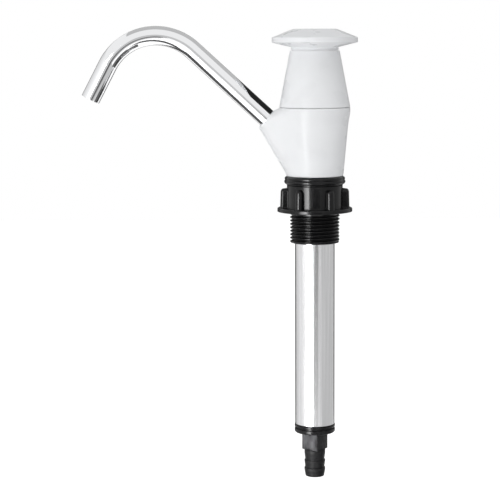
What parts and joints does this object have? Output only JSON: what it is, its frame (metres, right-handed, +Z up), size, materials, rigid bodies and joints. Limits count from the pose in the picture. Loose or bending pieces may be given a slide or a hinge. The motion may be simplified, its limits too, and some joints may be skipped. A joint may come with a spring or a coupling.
{
  "type": "water jug hand pump",
  "caption": "Upright hand lift pump with a swivel spout, a push knob, a threaded mounting sleeve with a ribbed lock nut, and a hose tail.",
  "frame": {"origin": "on the pump's axis, at the top end of the free screw thread, just under the lock nut's flange", "axes": "+Z up the axis to the knob; the spout points along -X; the spout's plane is XZ"},
  "size_m": [0.1833, 0.057, 0.3052],
  "materials": {
    "white_plastic": "glossy moulded",
    "black_plastic": "satin moulded",
    "inner_plastic": "plain moulded",
    "chrome": "polished",
    "aluminium": "satin drawn",
    "stainless": "ground",
    "rubber": "matt"
  },
  "bodies": {
    "base": {"threaded_sleeve": "black_plastic", "swivel_seals": "rubber", "cylinder_tube": "aluminium", "cylinder_seal": "rubber", "foot_fitting": "black_plastic", "foot_seal": "rubber", "foot_ball_cage": "inner_plastic"},
    "head": {"spout_body": "white_plastic", "spout_tube": "chrome", "spout_seal": "rubber", "gland_nut": "inner_plastic", "gland_bush": "inner_plastic", "gland_seal": "rubber", "swivel_clip": "stainless"},
    "plunger": {"knob_cap": "white_plastic", "handle_cone": "white_plastic", "rod_nut": "stainless", "rod_washer": "stainless", "piston_rod": "stainless", "piston_cage": "inner_plastic", "piston_body": "inner_plastic", "piston_seals": "rubber"},
    "piston_valve": {"piston_ball": "stainless"},
    "foot_valve": {"foot_ball": "stainless"},
    "nut_gasket": {"lock_nut_seal": "rubber"},
    "nut": {"lock_nut": "black_plastic"}
  },
  "joints": [
    {"name": "head_swivel", "type": "hinge", "parent": "base", "child": "head", "pos_m": [0, 0, 0.0257], "axis": [0, 0, 1], "continuous": true},
    {"name": "pump_stroke", "type": "slide", "parent": "base", "child": "plunger", "axis": [0, 0, 1], "range_m": [0, 0.1]},
    {"name": "piston_ball_lift", "type": "slide", "parent": "plunger", "child": "piston_valve", "axis": [0, 0, 1], "range_m": [0, 0.0025]},
    {"name": "foot_ball_lift", "type": "slide", "parent": "base", "child": "foot_valve", "axis": [0, 0, 1], "range_m": [0, 0.0025]},
    {"name": "nut_travel", "type": "slide", "parent": "base", "child": "nut_gasket", "axis": [0, 0, 1], "range_m": [-0.012, 0]},
    {"name": "nut_turn", "type": "hinge", "parent": "nut_gasket", "child": "nut", "pos_m": [0, 0, 0.0018], "axis": [0, 0, 1], "range_deg": [-1870, 0]}
  ],
  "couplings": [
    {"joint": "nut_travel", "follows": "nut_turn", "m_per_rad": 0.00036749}
  ]
}
